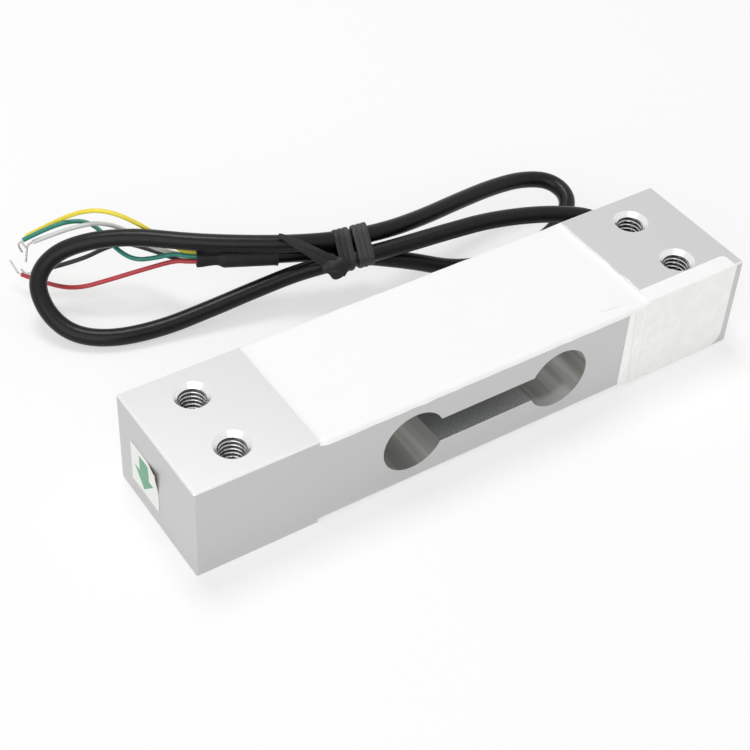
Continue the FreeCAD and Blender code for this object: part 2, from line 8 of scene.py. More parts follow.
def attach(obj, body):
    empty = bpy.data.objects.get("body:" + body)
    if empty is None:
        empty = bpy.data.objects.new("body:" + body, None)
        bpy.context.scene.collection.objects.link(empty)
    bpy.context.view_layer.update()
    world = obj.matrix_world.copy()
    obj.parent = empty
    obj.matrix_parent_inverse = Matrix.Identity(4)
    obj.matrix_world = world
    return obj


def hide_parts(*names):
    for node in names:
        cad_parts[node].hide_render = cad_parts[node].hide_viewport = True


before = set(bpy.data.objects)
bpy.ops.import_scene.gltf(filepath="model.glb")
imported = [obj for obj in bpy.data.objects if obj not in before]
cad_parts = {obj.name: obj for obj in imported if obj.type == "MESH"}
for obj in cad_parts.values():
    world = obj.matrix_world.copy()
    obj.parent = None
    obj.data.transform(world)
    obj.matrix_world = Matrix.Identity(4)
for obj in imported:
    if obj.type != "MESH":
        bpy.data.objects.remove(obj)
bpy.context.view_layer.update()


# Spring body. One bar of aluminium alloy, milled on every face, with raised end pads and two bores joined
# by a slot, so that thin walls bend under load. Two M6 holes are tapped through each pad: a copy of the
# plain bar keeps its form, and a threaded cutter is taken out of its four drilled holes.
class Wire:
    """One output of a node. Arithmetic on it adds Math nodes to the same tree."""

    def __init__(self, graph, socket):
        self.graph, self.socket = graph, socket

    def math(self, operation, first, second=0.0):
        return self.graph.node("ShaderNodeMath", {"operation": operation}, {0: first, 1: second})

    def __add__(self, other):
        return self.math("ADD", self, other)

    def __radd__(self, other):
        return self.math("ADD", other, self)

    def __sub__(self, other):
        return self.math("SUBTRACT", self, other)

    def __rsub__(self, other):
        return self.math("SUBTRACT", other, self)

    def __mul__(self, other):
        return self.math("MULTIPLY", self, other)

    def __rmul__(self, other):
        return self.math("MULTIPLY", other, self)

    def __truediv__(self, other):
        return self.math("DIVIDE", self, other)

    def __pow__(self, other):
        return self.math("POWER", self, other)

    def __abs__(self):
        return self.math("ABSOLUTE", self)

    def above(self, level, blur=0.0):
        """1 where this is over the level and 0 under it, with a soft step of that width."""
        if not blur:
            return self.math("GREATER_THAN", self, level)
        return self.graph.node(
            "ShaderNodeMapRange",
            {"interpolation_type": "SMOOTHSTEP"},
            {"Value": self, "From Min": level - blur / 2, "From Max": level + blur / 2},
        )

    def below(self, level, blur=0.0):
        return 1 - self.above(level, blur)

    def either(self, other):
        """The larger of two values, which joins two masks."""
        return self.math("MAXIMUM", self, other)

    def zigzag(self, height):
        """A value that climbs from 0 to height and falls back as this one grows."""
        return self.math("PINGPONG", self, height)

    def peer(self, name):
        """Another output of the same node."""
        return Wire(self.graph, self.socket.node.outputs[name])


class Graph:
    """A node tree, of a material, of the surround or of a geometry modifier."""

    def __init__(self, tree):
        self.tree = tree

    def node(self, kind, settings=None, inputs=None, out=0):
        """A new node of a type, with its settings made first and then its inputs."""
        made = self.tree.nodes.new(kind)
        for name, value in (settings or {}).items():
            setattr(made, name, value)
        for name, value in (inputs or {}).items():
            self.join(value, made.inputs[name])
        return Wire(self, made.outputs[out]) if len(made.outputs) else None

    def join(self, value, socket):
        if isinstance(value, Wire):
            self.tree.links.new(value.socket, socket)
        elif socket.type == "RGBA":
            socket.default_value = (*value, 1)
        else:
            socket.default_value = value


class Finish(Graph):
    """A material with one Principled shader. x, y and z are its place on the object in millimetres."""

    def __init__(self, name, **constants):
        self.material = bpy.data.materials.new(name)
        self.material.use_nodes = True
        super().__init__(self.material.node_tree)
        self.shader = self.tree.nodes["Principled BSDF"]
        for key, value in constants.items():
            self.feed(key.replace("_", " "), value)
        place = self.node("ShaderNodeTexCoord", out="Object")
        self.point = self.node("ShaderNodeVectorMath", {"operation": "SCALE"}, {0: place, "Scale": 1000})
        self.x = self.node("ShaderNodeSeparateXYZ", {}, {0: self.point})
        self.y, self.z = self.x.peer("Y"), self.x.peer("Z")
        self.normal = None

    def feed(self, name, value):
        self.join(value, self.shader.inputs[name])

    def grain(self, scale, detail=2.0, stretch=(1, 1, 1)):
        """Noise from 0 to 1, scale features a millimetre, drawn out where stretch is small."""
        place = self.node("ShaderNodeMapping", {}, {"Vector": self.point, "Scale": stretch})
        return self.node("ShaderNodeTexNoise", {}, {"Vector": place, "Scale": scale, "Detail": detail})

    def blend(self, share, first, second):
        """The first colour where share is 0 and the second where it is 1."""
        # a Mix node has several inputs named A and B; 6, 7 and the output 2 are its colours
        return self.node("ShaderNodeMix", {"data_type": "RGBA"}, {0: share, 6: first, 7: second}, 2)

    def bump(self, height, depth):
        """Adds relief whose full height is depth in millimetres."""
        inputs = {"Height": height, "Distance": depth * MM, "Strength": 1.0}
        if self.normal:
            inputs["Normal"] = self.normal
        self.normal = self.node("ShaderNodeBump", {}, inputs)
        self.feed("Normal", self.normal)


def linked(name, mesh):
    """A new object at the origin, in the scene."""
    made = bpy.data.objects.new(name, mesh)
    bpy.context.scene.collection.objects.link(made)
    return made


def finished(name, mesh, material, sharp=None):
    """A piece of the object at the origin, smooth but for edges that turn by more than sharp degrees."""
    piece = linked(name, mesh)
    mesh.materials.clear()
    mesh.materials.append(material)
    mesh.shade_smooth()
    if sharp:
        mesh.set_sharp_from_angle(angle=math.radians(sharp))
    return piece


def carried(piece, node):
    """The piece rides on the only body and stands for this node, whose own solid is hidden."""
    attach(piece, "root")
    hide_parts(node)


MM = 0.001
BAR = {"length": 130, "width": 30, "height": 22, "pad": 26, "recess": 1.3}
BORE = {"diameter": 14.0, "pitch": 35.0, "slot": 6.0, "slot reach": 13}
HOLE = {"end gap": 12, "pitch": 15, "sink radius": 3.7, "sink depth": 1.2}
THREAD = {"Pitch": 1.0, "Inner": 2.4, "Outer": 3.06, "Overrun": 1.0}
HOLE_X, HOLE_Y = BAR["length"] / 2 - HOLE["end gap"], HOLE["pitch"] / 2
HOLES = [(end * HOLE_X, side * HOLE_Y) for end in (-1, 1) for side in (-1, 1)]
SKIN_DEPTH = 0.03
ON_WALL = 0.06
EDGE_BAND = 0.35
BORE_GLINT = {"rise": 1.6, "reach": 2.6, "from": 10}
ALUMINIUM = (0.585, 0.585, 0.585)
THREAD_GROOVE_SHADOW = (0.05, 0.05, 0.045)

milled = Finish("milled aluminium", Metallic=0.8)
cutter_marks = milled.grain(2.2, 3, (0.06, 1, 1))
fine_grain = milled.grain(9, 3)
cloud = milled.grain(0.09, 3)
highlight_streak = milled.grain(0.4, 3, (1, 0.03, 1))
slot_grit = milled.grain(3.5, 4)

bore_shift = abs(milled.x) - BORE["pitch"] / 2
bore_level = milled.z - BAR["height"] / 2
from_bore = (bore_shift * bore_shift + bore_level * bore_level) ** 0.5
inside_skin = abs(milled.y).below(BAR["width"] / 2 - SKIN_DEPTH)
in_bore = from_bore.below(BORE["diameter"] / 2 + ON_WALL) * inside_skin
in_slot = abs(bore_level).below(BORE["slot"] / 2 + ON_WALL)
in_slot = in_slot * abs(milled.x).below(BORE["slot reach"]) * inside_skin
slot_mouth_light = abs(milled.y).above(BAR["width"] / 2 - 2.5, 8)
bore_foot = (BAR["height"] - BORE["diameter"]) / 2
# Painted highlight: a white patch low in the fixed end's bore, near the front face.
bore_glint = milled.z.below(bore_foot + BORE_GLINT["rise"], 1.6)
bore_glint = bore_glint * milled.y.below(BORE_GLINT["reach"] - BAR["width"] / 2, 2.2)
bore_glint = bore_glint * milled.x.above(BORE_GLINT["from"])

hole_shift = abs(milled.x) - HOLE_X
hole_side = abs(milled.y) - HOLE_Y
from_hole = (hole_shift * hole_shift + hole_side * hole_side) ** 0.5
in_hole = from_hole.below(HOLE["sink radius"] + 0.05)
threaded_half = BAR["height"] / 2 - HOLE["sink depth"] + 0.25
in_thread = from_hole.below(THREAD["Outer"] + 0.1) * abs(bore_level).below(threaded_half)
# Painted shade: the threads' valleys and flanks are painted near-black.
groove_shade = from_hole.above(THREAD["Inner"] + 0.2, 0.2) * in_thread

from_end = BAR["length"] / 2 - abs(milled.x)
from_side = BAR["width"] / 2 - abs(milled.y)
from_face = BAR["height"] / 2 - abs(bore_level)
# Lighter along the bar's edges: partly edge wear, partly painted highlight where the chamfers catch the
# light.
edge_wear_and_highlight = (from_side + from_face).below(EDGE_BAND, 0.06)
edge_wear_and_highlight = edge_wear_and_highlight.either((from_end + from_face).below(EDGE_BAND, 0.06))

# Bore walls: grey metal with painted highlight streaks along them.
bore_wall_with_highlights = milled.blend(highlight_streak.above(0.6, 0.3), (0.55, 0.55, 0.53), (0.9, 0.89, 0.87))
bore_wall_with_highlights = milled.blend(bore_glint, bore_wall_with_highlights, (1, 1, 1))
# Slot floor: real grit, with painted light near the slot's openings in the front and back faces and painted
# shade deeper inside, where the grit is mostly dark.
lit_grit_share = slot_grit.above(0.55, 0.4) * (0.1 + 0.9 * slot_mouth_light)
slot_grit_and_shade = milled.blend(lit_grit_share, (0.4, 0.41, 0.41), (0.95, 0.96, 0.96))
metal_shade = milled.blend(cloud, [c * 0.97 for c in ALUMINIUM], ALUMINIUM)
metal_shade = milled.blend(in_bore, metal_shade, bore_wall_with_highlights)
metal_shade = milled.blend(in_hole, metal_shade, (0.82, 0.82, 0.83))
metal_shade = milled.blend(groove_shade, metal_shade, THREAD_GROOVE_SHADOW)
metal_shade = milled.blend(edge_wear_and_highlight, metal_shade, (0.8, 0.8, 0.8))
milled.feed("Base Color", milled.blend(in_slot, metal_shade, slot_grit_and_shade))
milled.feed("Roughness", 0.34 + 0.1 * fine_grain + 0.06 * cutter_marks - 0.06 * in_bore - 0.2 * in_hole)
milled.bump(cutter_marks, 0.006)
milled.bump(fine_grain, 0.008)
milled.bump(slot_grit * in_slot, 0.07)


def tap_cutter():
    """A geometry tree that makes a threaded rod, and the names by which its inputs are set."""
    tap = Graph(bpy.data.node_groups.new("tap", "GeometryNodeTree"))
    sockets = tap.tree.interface
    sockets.new_socket("Geometry", in_out="OUTPUT", socket_type="NodeSocketGeometry")
    names = {}
    for label, value in {**THREAD, "Reach": BAR["height"]}.items():
        socket = sockets.new_socket(label, in_out="INPUT", socket_type="NodeSocketFloat")
        socket.default_value = value
        names[label] = socket.identifier
    given = tap.node("NodeGroupInput")
    pitch, inner, outer = given.peer("Pitch"), given.peer("Inner"), given.peer("Outer")
    reach = given.peer("Reach") + 2 * given.peer("Overrun")
    turn_steps, around = 8, 48
    steps = reach / pitch * turn_steps
    rod_size = {"Vertices": around, "Side Segments": steps, "Radius": 1.0, "Depth": reach}
    rod = tap.node("GeometryNodeMeshCylinder", {}, rod_size)
    x = tap.node("ShaderNodeSeparateXYZ", {}, {0: tap.node("GeometryNodeInputPosition")})
    y, z = x.peer("Y"), x.peer("Z")
    turned = z / pitch - y.math("ARCTAN2", y, x) / (2 * math.pi)
    radius = inner + (outer - inner) * (2 * turned.zigzag(0.5))
    shaped = tap.node("ShaderNodeCombineXYZ", {}, {"X": x * radius, "Y": y * radius, "Z": z})
    cut = tap.node("GeometryNodeSetPosition", {}, {"Geometry": rod, "Position": shaped})
    coated = tap.node("GeometryNodeSetMaterial", {}, {"Geometry": cut, "Material": milled.material})
    tap.node("NodeGroupOutput", {}, {0: coated})
    return tap.tree, names


def final_mesh(holder):
    """The mesh that an object shows once its modifiers are done. The object is then removed."""
    ready = holder.evaluated_get(bpy.context.evaluated_depsgraph_get())
    mesh = bpy.data.meshes.new_from_object(ready)
    bpy.data.objects.remove(holder)
    return mesh


def threaded_rods():
    """One threaded cutter through each hole, in a single mesh."""
    tree, names = tap_cutter()
    holder = linked("tap", bpy.data.meshes.new("tap"))
    grow = holder.modifiers.new("grow", "NODES")
    grow.node_group = tree
    grow[names["Reach"]] = float(BAR["height"])
    rod = final_mesh(holder)
    rods = bmesh.new()
    for x, y in HOLES:
        placed = rod.copy()
        middle = Matrix.Translation((x * MM, y * MM, BAR["height"] / 2 * MM))
        placed.transform(middle @ Matrix.Scale(MM, 4))
        rods.from_mesh(placed)
    mesh = bpy.data.meshes.new("taps")
    rods.to_mesh(mesh)
    rods.free()
    return mesh


def plain_bar():
    """A copy of the bar's solid, with its faces joined and no stored normals."""
    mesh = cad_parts["spring_body"].data.copy()
    if "custom_normal" in mesh.attributes:
        mesh.attributes.remove(mesh.attributes["custom_normal"])
    joined = bmesh.new()
    joined.from_mesh(mesh)
    bmesh.ops.remove_doubles(joined, verts=joined.verts, dist=1e-7)
    joined.to_mesh(mesh)
    joined.free()
    return mesh


cutter = linked("taps", threaded_rods())
bar = linked("plain_bar", plain_bar())
tapping = bar.modifiers.new("tapping", "BOOLEAN")
tapping.object, tapping.operation, tapping.solver = cutter, "DIFFERENCE", "EXACT"
spring_body = finished("spring_body_tapped", final_mesh(bar), milled.material, 28)
bpy.data.objects.remove(cutter)
carried(spring_body, "spring_body")


# Strain gauges. Four foil gauges, a thin metal grid on an amber polyimide film, bonded over the thin
# walls under the silicone, two on top and two below.
foil = Finish("foil gauge", Roughness=0.42)
FOIL = {
    "lines a mm": 2.2, "grid length": 6.8, "grid width": 4.4,
    "tab end": 4.6, "tab side": 1.5, "tab width": 1.8,
}
grid_line = (foil.y * FOIL["lines a mm"]).zigzag(0.5).above(0.24)
from_gauge = abs(abs(foil.x) - BORE["pitch"] / 2)
in_grid = from_gauge.below(FOIL["grid length"] / 2) * abs(foil.y).below(FOIL["grid width"] / 2)
in_tab = from_gauge.above(FOIL["grid length"] / 2) * from_gauge.below(FOIL["tab end"])
in_tab = in_tab * abs(abs(foil.y) - FOIL["tab side"]).below(FOIL["tab width"] / 2)
metal = (grid_line * in_grid).either(in_tab)
film = foil.blend(foil.grain(0.8), (0.5, 0.26, 0.06), (0.6, 0.33, 0.09))
foil.feed("Base Color", foil.blend(metal, film, (0.62, 0.6, 0.56)))
foil.feed("Metallic", metal)
foil.bump(metal, 0.02)


def dressed(node, material):
    """A node whose solid is right as it is takes this material."""
    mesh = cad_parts[node].data
    mesh.materials.clear()
    mesh.materials.append(material)


for gauge in ("gauge_top_loaded", "gauge_top_fixed", "gauge_bottom_loaded", "gauge_bottom_fixed"):
    dressed(gauge, foil.material)


# Boards. A small terminal board with three trim resistors on top and a smaller strip below join the
# gauges' fine wires to the cable's cores. Both are glass-epoxy with tinned pads.
SOLDER_PAD = {"side": 2.2, "half width": 0.6, "pads a mm": 0.45}
board = Finish("solder mask", Roughness=0.35)
pad_row = abs(abs(board.y) - SOLDER_PAD["side"]).below(SOLDER_PAD["half width"])
pad_row = pad_row * (board.x * SOLDER_PAD["pads a mm"]).zigzag(0.5).above(0.2)
mask_green = board.blend(board.grain(0.5), (0.012, 0.1, 0.04), (0.02, 0.15, 0.06))
board.feed("Base Color", board.blend(pad_row, mask_green, (0.6, 0.6, 0.57)))
board.feed("Metallic", pad_row)
board.bump(pad_row, 0.03)
dressed("bridge_board", board.material)
dressed("terminal_strip", board.material)

chip = Finish("chip resistor", Roughness=0.5)
end_cap = abs(chip.y).above(0.5)
chip.feed("Base Color", chip.blend(end_cap, (0.012, 0.012, 0.014), (0.6, 0.6, 0.58)))
chip.feed("Metallic", end_cap)
chip.bump(chip.grain(4), 0.01)
dressed("trim_resistors", chip.material)

enamel = Finish("enamelled copper", Metallic=0.9)
enamel_shade = enamel.grain(1.5)
enamel.feed("Base Color", enamel.blend(enamel_shade, (0.32, 0.1, 0.03), (0.45, 0.16, 0.05)))
enamel.feed("Roughness", 0.25 + 0.15 * enamel_shade)
for wires in ("gauge_wires", "supply_wires", "link_wires"):
    dressed(wires, enamel.material)


# Silicone. White silicone rubber is poured over the gauges and boards, just under the pads' level on top,
# where it creeps over both sides and a little onto the fixed end's pad, and thinner below. It sets soft
# and slightly wavy.
def waver(seed, *place):
    """Smooth noise from -1 to 1 at a place, the same on each run and unlike that of other seeds."""
    return noise.noise(Vector((*place, 0, 0, 0)[:3]) + Vector((seed * 17.3, seed * 5.1, seed * 9.7)))


def ease(share):
    """0 up to a share of 0, 1 from a share of 1, and a smooth climb between."""
    share = min(max(share, 0.0), 1.0)
    return share * share * (3 - 2 * share)


def loft(name, rings, material, sharp=None, closed=False):
    """A piece through rings of points in millimetres, capped at both ends or closed on itself."""
    made = bmesh.new()
    rows = [[made.verts.new(Vector(p) * MM) for p in ring] for ring in rings]
    pairs = list(zip(rows, rows[1:])) + ([(rows[-1], rows[0])] if closed else [])
    for first, second in pairs:
        for k in range(len(first)):
            corners = (first[k - 1], first[k], second[k], second[k - 1])
            made.faces.new(corners)
    if not closed:
        made.faces.new(rows[0])
        made.faces.new(rows[-1])
    bmesh.ops.remove_doubles(made, verts=made.verts, dist=1e-7)
    bmesh.ops.recalc_face_normals(made, faces=made.faces)
    mesh = bpy.data.meshes.new(name)
    made.to_mesh(mesh)
    made.free()
    return finished(name, mesh, material, sharp)


POUR_END = BAR["length"] / 2 - BAR["pad"]
FLOOR = BAR["height"] - BAR["recess"]
POUR = {"round": 0.9, "low round": 0.4, "top gap": 0.2, "label cover": 1.3}
LIP_LINE = POUR_END + 0.15
DENT = {"y": -12.6, "lean": 0.12, "middle": 30, "start": 28.8, "end": 33.6}
# the film's section: its share of the run onto the pad, and its height over the pad
SMEAR = [
    (-0.1, -0.3), (-0.1, 0.08), (0.15, 0.16), (0.45, 0.12),
    (0.75, 0.08), (0.95, 0.035), (1.0, 0.0), (0.0, 0.0),
]
silicone = Finish("white silicone", Roughness=0.42, Specular_IOR_Level=0.4)
silicone_cloud = silicone.grain(0.12, 3)
silicone_shade = silicone.blend(silicone_cloud, (0.94, 0.94, 0.935), (0.96, 0.96, 0.955))
on_top = silicone.z.above(BAR["height"] - 0.5)
lip_wander = 0.9 * (silicone.grain(0.45, 3) - 0.5)
# Painted shade: a ragged grey line along the meniscus where the pour meets the fixed end's pad.
lip_shade = abs(silicone.x - LIP_LINE - lip_wander).below(0.07, 0.1) * on_top
lip_shade = lip_shade * silicone.grain(0.35).above(0.42, 0.2)
# Painted shade: a short grey line where the top of the pour is creased near the front edge.
from_dent = abs(silicone.y - DENT["y"] + DENT["lean"] * (silicone.x - DENT["middle"]))
dent_shade = from_dent.below(0.1, 0.14) * on_top
dent_shade = dent_shade * silicone.x.above(DENT["start"], 0.6) * silicone.x.below(DENT["end"], 0.6)
painted_crease_shade = lip_shade.either(dent_shade * 0.6)
silicone.feed("Base Color", silicone.blend(painted_crease_shade, silicone_shade, (0.66, 0.66, 0.66)))
silicone.bump(silicone.grain(0.5, 3), 0.05)
silicone.bump(silicone.grain(3.0, 2), 0.008)


def stations(start, end, spans):
    """Evenly spaced places from start to end."""
    return [start + (end - start) * n / spans for n in range(spans + 1)]


def top_section(x, half, lip, crown):
    """A section of the top pour: up from one lip, across the crown, down to the other and back below."""
    corner = min(POUR["round"], crown - lip - 0.05)
    edge = [(half - 0.3, lip), (half - 0.08, lip + 0.03), (half, lip + 0.18)]
    for a in stations(0, math.pi / 2, 7):
        edge.append((half - corner * (1 - math.cos(a)), crown - corner * (1 - math.sin(a))))
    across = []
    for y in stations(corner - half, half - corner, 36)[1:-1]:
        swell = 0.05 * waver(1, x * 0.12, y * 0.2) + 0.025 * waver(2, x * 0.5, y * 0.5)
        across.append((y, crown + swell))
    outline = [(-y, z) for y, z in edge] + across + edge[::-1]
    outline += [(half - 0.32, FLOOR), (0.32 - half, FLOOR)]
    return [(x, y, z) for y, z in outline]


def top_pour_rings():
    """Sections along the bar. Out from each pad, the pour creeps past the sides and down over them."""
    rings = []
    for x in stations(-POUR_END, POUR_END, 170):
        from_pad = min(x + POUR_END, POUR_END - x)
        from_label = POUR_END + POUR["label cover"] - x
        out = ease((min(x + POUR_END, from_label) + 0.15) / 2.2)
        half = BAR["width"] / 2 + 0.02 + out * (0.3 + 0.1 * waver(3, x * 0.35))
        lip = FLOOR - out * (0.32 + 0.1 * waver(4, x * 0.45)) + 0.02
        crown = BAR["height"] - POUR["top gap"] + 0.17 * math.exp(-from_pad / 0.5)
        rings.append(top_section(x, half, lip, crown))
    return rings


def smear_rings():
    """A thin film that crept onto the fixed end's pad, section by section across the bar."""
    rings = []
    for y in stations(-14.6, 14.6, 180):
        run = 0.8 + 0.4 * waver(5, y * 0.3) + 0.2 * waver(6, y * 1.3)
        swell = 1 + 0.6 * waver(7, y * 1.1)
        level = BAR["height"] + 0.004
        rings.append([(POUR_END + run * share, y, level + rise * swell) for share, rise in SMEAR])
    return rings


def bottom_pour_rings():
    """Sections along the bar of the thinner pour in the lower recess, rounded at its lower corners."""
    rings = []
    corner = POUR["low round"]
    for x in stations(-POUR_END, POUR_END, 60):
        half = 14.6 + 0.12 * waver(8, x * 0.3)
        low = 0.3 + 0.06 * waver(9, x * 0.2)
        turn = []
        for degrees in (0, 22.5, 45, 67.5, 90):
            a = math.radians(degrees)
            turn.append((half - corner * (1 - math.cos(a)), low + corner * (1 - math.sin(a))))
        ring = [(x, -y, z) for y, z in turn]
        for y in stations(corner - half, half - corner, 20)[1:-1]:
            ring.append((x, y, low + 0.04 * waver(10, x * 0.3, y * 0.3)))
        ring += [(x, y, z) for y, z in turn[::-1]]
        ring += [(x, half, BAR["recess"] - 0.01), (x, -half, BAR["recess"] - 0.01)]
        rings.append(ring)
    return rings


top_pour = loft("top_silicone_pour", top_pour_rings(), silicone.material, 50)
smear = loft("top_silicone_smear", smear_rings(), silicone.material, 50)
bottom_pour = loft("bottom_silicone_pour", bottom_pour_rings(), silicone.material, 50)
carried(top_pour, "top_silicone")
carried(smear, "top_silicone")
carried(bottom_pour, "bottom_silicone")


# Side label. A blank white film label is stuck on the fixed end's front face, its left edge under the
# silicone's lip and its upper edge folded over onto the pad. Its two outer corners are rounded.
LABEL = {
    "start": 34.5, "end": 63.0, "low": 0.4, "flap start": 39.02, "flap end": 62.5, "flap": 3.6,
    "round": 1.2, "low round": 3.4, "bend": 0.35, "tuck": 0.38, "lifted foot": 1.0,
}
# the crease where the label bends round the silicone's lip leans by a share of the height
CREASE = {"x": 37.2, "lean": 0.07}
label_film = Finish("label film", Roughness=0.32, Specular_IOR_Level=0.45)
film_cloud = label_film.grain(0.35, 4)
label_front = label_film.blend(film_cloud.above(0.52, 0.35), (0.9, 0.9, 0.87), (0.945, 0.945, 0.925))
# Painted light: the strip on the near side of the crease, folded round the lip, is painted lighter, and the
# crease itself is a grey line of painted shade.
from_crease = label_film.x - (CREASE["x"] - CREASE["lean"] * label_film.z)
label_front = label_film.blend(from_crease.below(0, 0.3), label_front, (0.96, 0.96, 0.955))
crease_shade = abs(from_crease - 0.1).below(0.1, 0.15)
label_front = label_film.blend(crease_shade * 0.5, label_front, (0.62, 0.62, 0.6))
# Painted light: the flap lying on the pad, which faces up, is painted whiter than the front.
lit_flap = label_film.z.above(BAR["height"] - 0.2, 0.4)
label_film.feed("Base Color", label_film.blend(lit_flap, label_front, (0.955, 0.955, 0.95)))
label_film.bump(film_cloud, 0.12)
label_film.bump(label_film.grain(1.1, 3), 0.04)


def rounding(distance, radius):
    """How much a rounded corner takes off at this distance from the side."""
    if distance >= radius:
        return 0.0
    return radius - math.sqrt(max(0.0, radius**2 - (radius - max(distance, 0.0)) ** 2))


def label_path(x):
    """Up the front face and over the edge at x: each point with the way that the film faces there."""
    low = LABEL["low"] + rounding(LABEL["end"] - x, LABEL["low round"])
    low += LABEL["lifted foot"] * ease((POUR_END + 0.8 - x) / 4.5)
    top = FLOOR - LABEL["tuck"] if x < POUR_END else BAR["height"] - LABEL["bend"]
    front, bend = -BAR["width"] / 2, LABEL["bend"]
    path = [(front, z, (0, -1)) for z in stations(low, top, 26)]
    turns, runs = 6, 8
    if x < LABEL["flap start"] or x > LABEL["flap end"]:
        return path + [(front, top + 0.002 * k, (0, -1)) for k in range(1, turns + runs + 1)]
    for a in stations(0, math.pi / 2, turns)[1:]:
        facing = (math.sin(a), -math.cos(a))
        path.append((front + bend * (1 - math.cos(a)), top + bend * math.sin(a), facing))
    depth = LABEL["flap"] - rounding(LABEL["flap end"] - x, LABEL["round"]) - bend
    return path + [(front + bend + y, BAR["height"], (1, 0)) for y in stations(0, depth, runs)[1:]]


def label_point(x, y, z, facing, lift):
    """A point of the film's inner side, or of its outer side where lift is 1."""
    up, out = facing
    wave = 0.035 + 0.035 * waver(11, x * 0.25, z * 0.25, y * 0.3) + 0.02 * waver(12, x * 0.9, z * 0.9, y)
    edge = 0.1 * math.exp(-abs(x - POUR_END) / 0.35) * (z < FLOOR - 0.4)
    fold = 0.12 * math.exp(-((z - 6 - 2.6 * (x - 36)) / 1.1) ** 2) * ease((39.6 - x) / 1.0)
    gap = 0.01 + lift * (0.12 + wave + edge + fold)
    return (x, y + out * gap, z + up * gap)


def label_places():
    """Sections along the label, closer where it meets the pad and where its corners are rounded."""
    tab = stations(LABEL["start"], LABEL["start"] + 4.25, 17)
    at_pad = [38.99, 39.01, 39.02, 39.1, 39.2, 39.35, 39.55, 39.8, 40.1, 40.5, 41.0]
    at_flap_end = [61.3, 61.6, 61.9, 62.1, 62.3, 62.4, 62.46, 62.5]
    at_end = [62.52, 62.62, 62.74, 62.86, 62.94, 62.98, 63.0]
    return tab + at_pad + stations(41.6, 60.6, 38) + at_flap_end + at_end


def label_rings():
    """The film's sections, each up its outer side and back down its inner side."""
    rings = []
    for x in label_places():
        path = label_path(x)
        outside = [label_point(x, y, z, facing, 1) for y, z, facing in path]
        inside = [label_point(x, y, z, facing, 0) for y, z, facing in path]
        rings.append(outside + inside[::-1])
    return rings


label = loft("side_label_film", label_rings(), label_film.material, 40)
carried(label, "side_label")


# Arrow sticker. A small white paper sticker on the loaded end's face shows which way the load acts, with
# a printed green arrow that points down. One upper corner has lifted.
STICKER = {"low": 4.4, "high": 14.4, "near": -0.8, "far": 9.8, "thick": 0.14, "glue": 0.015, "lift": 0.55}
STEM = {"near": 2.7, "far": 6.4, "top": 13.3}
HEAD = {"near": 1.0, "far": 8.5, "base": 9.4, "tip": 5.4, "middle": 5.0}
paper = Finish("sticker paper", Roughness=0.55)
stem = paper.y.above(STEM["near"], 0.12) * paper.y.below(STEM["far"], 0.12)
stem = stem * paper.z.above(HEAD["base"], 0.1) * paper.z.below(STEM["top"], 0.12)
along_head = (paper.z - HEAD["tip"]) / (HEAD["base"] - HEAD["tip"])
near_side = paper.y - HEAD["middle"] + (HEAD["middle"] - HEAD["near"]) * along_head
far_side = HEAD["middle"] + (HEAD["far"] - HEAD["middle"]) * along_head - paper.y
head = near_side.above(0, 0.12) * far_side.above(0, 0.12) * along_head.above(0) * along_head.below(1, 0.02)
arrow = stem.either(head) * paper.x.below(-BAR["length"] / 2)
fibre = paper.grain(2.5, 4)
ink = paper.blend(fibre, (0.14, 0.36, 0.22), (0.19, 0.42, 0.27))
bare_paper = paper.blend(fibre, (0.8, 0.81, 0.77), (0.86, 0.86, 0.84))
paper.feed("Base Color", paper.blend(arrow, bare_paper, ink))
paper.bump(fibre, 0.015)


def sticker_lift(y, z):
    """How far the paper stands off the face, most at the upper corner that has lifted."""
    corner = math.hypot(y - STICKER["near"], (STICKER["high"] - z) * 0.8)
    return max(0, STICKER["lift"] * ease(1 - corner / 4.6) + 0.02 * waver(13, y * 0.4, z * 0.4))


def sticker_rings():
    """The paper's sections from its lower edge up, each out along one side and back along the other."""
    rings = []
    face = -BAR["length"] / 2
    across = stations(STICKER["near"], STICKER["far"], 30)
    for z in stations(STICKER["low"], STICKER["high"], 30):
        outside = [(face - STICKER["thick"] - sticker_lift(y, z), y, z) for y in across]
        inside = [(face - STICKER["glue"] - sticker_lift(y, z), y, z) for y in across]
        rings.append(outside + inside[::-1])
    return rings


sticker = loft("arrow_sticker_paper", sticker_rings(), paper.material, 40)
carried(sticker, "arrow_sticker")


# Cable. A round five-core cable with a black PVC jacket leaves the fixed end's back face. It is folded
# into a small hank, tied in the middle, and its end lies over the hank with the leads bared.
CABLE = {"diameter": 3.8, "length": 370.0, "exit": (59, 15, 11)}
CABLE_ROUTE = [
    (59, 11, 11), (59, 22, 11), (49.5, 27.5, 12.5), (36, 32, 13), (24, 34, 12.5), (13.5, 36, 11.5),
    (2.5, 38, 11), (-7.5, 42, 9), (-18, 44.5, 6.2), (-28.5, 46, 4), (-39.5, 47.5, 2.2), (-50, 50, 2),
    (-56.5, 54.8, 2.6), (-59.3, 61, 5.5), (-58.5, 67.2, 9.6), (-53, 69, 13.2), (-45.5, 66.5, 15.5),
    (-37, 61.5, 16.5), (-28.5, 54.5, 16.5), (-19, 49, 16), (-9, 44, 15.5), (1.5, 41, 14.5),
    (12.5, 40, 13.5), (23, 41, 12.5), (34.5, 43, 11.5), (45, 44.5, 10.5), (53.5, 44.5, 9.6),
    (59.6, 41.8, 8.8), (60.8, 36.3, 7.6), (57, 31.8, 6.2), (49.5, 29, 4.5), (41, 28.4, 2.9),
    (33.5, 30.2, 2.1), (25.5, 32.8, 2.6), (17, 35.5, 6.2), (7, 40, 8.5), (-2.2, 44.6, 10),
    (-12.6, 47.8, 11.2), (-22, 51.7, 11.7),
]


